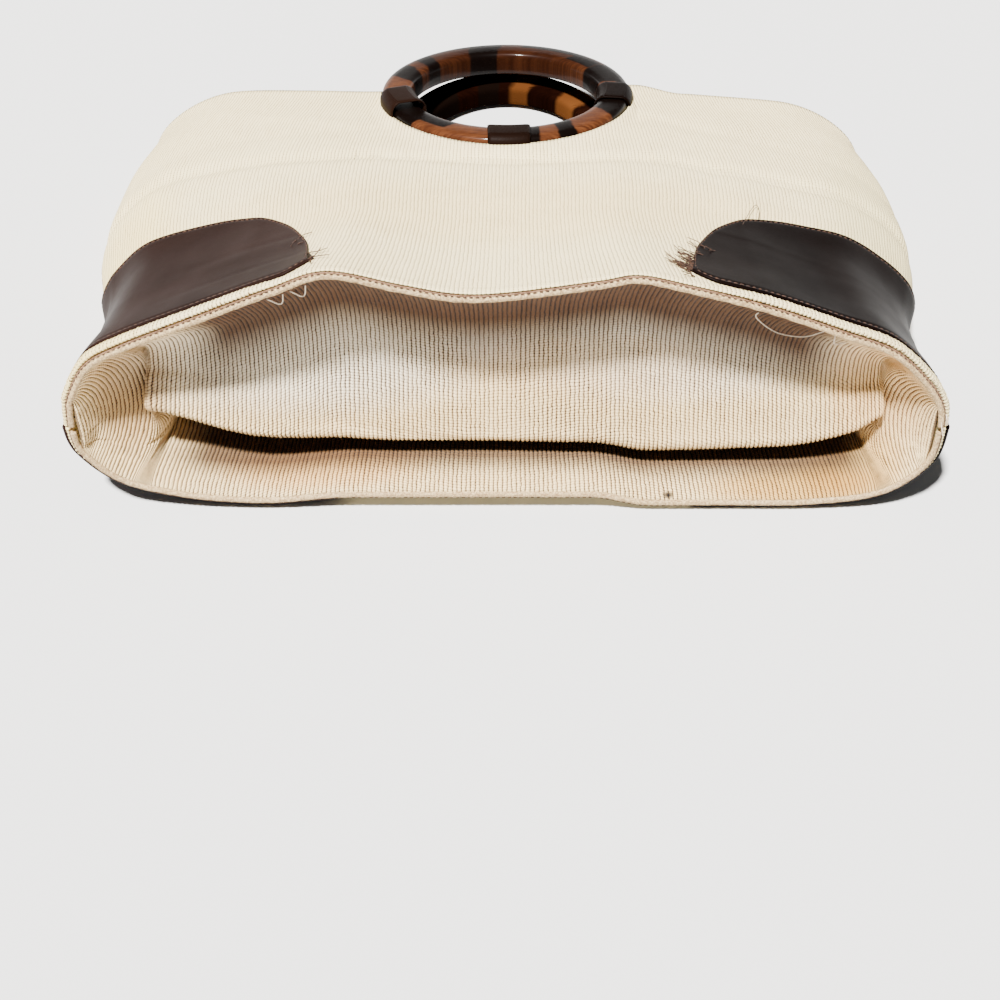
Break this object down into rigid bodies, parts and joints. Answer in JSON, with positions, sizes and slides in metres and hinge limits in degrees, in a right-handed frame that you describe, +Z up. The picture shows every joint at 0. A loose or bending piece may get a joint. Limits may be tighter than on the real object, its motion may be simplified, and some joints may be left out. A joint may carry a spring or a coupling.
{
  "type": "handbag with wooden ring handles",
  "caption": "Cloth handbag with round wooden ring handles and leather corner patches, lying on its back with its soft base folded inwards.",
  "frame": {"origin": "on the table under the middle of the bag's box", "axes": "+X across the bag, +Y from the base's rim to the ring handles, +Z up from the table that the bag's back lies on"},
  "size_m": [0.3908, 0.2922, 0.1298],
  "materials": {
    "cloth": "coarse ribbed cotton and linen weave, cream, matt",
    "leather": "smooth dark brown leather, soft sheen",
    "wood": "varnished wood in brown and black stripes, glossy"
  },
  "bodies": {
    "root": {"front_panel": "cloth", "back_panel": "cloth", "base_panel": "cloth", "front_left_patch": "leather", "front_right_patch": "leather", "back_left_patch": "leather", "back_right_patch": "leather", "front_ring": "wood", "back_ring": "wood", "front_left_loop": "leather", "front_bottom_loop": "leather", "front_right_loop": "leather", "back_left_loop": "leather", "back_bottom_loop": "leather", "back_right_loop": "leather"}
  },
  "joints": []
}
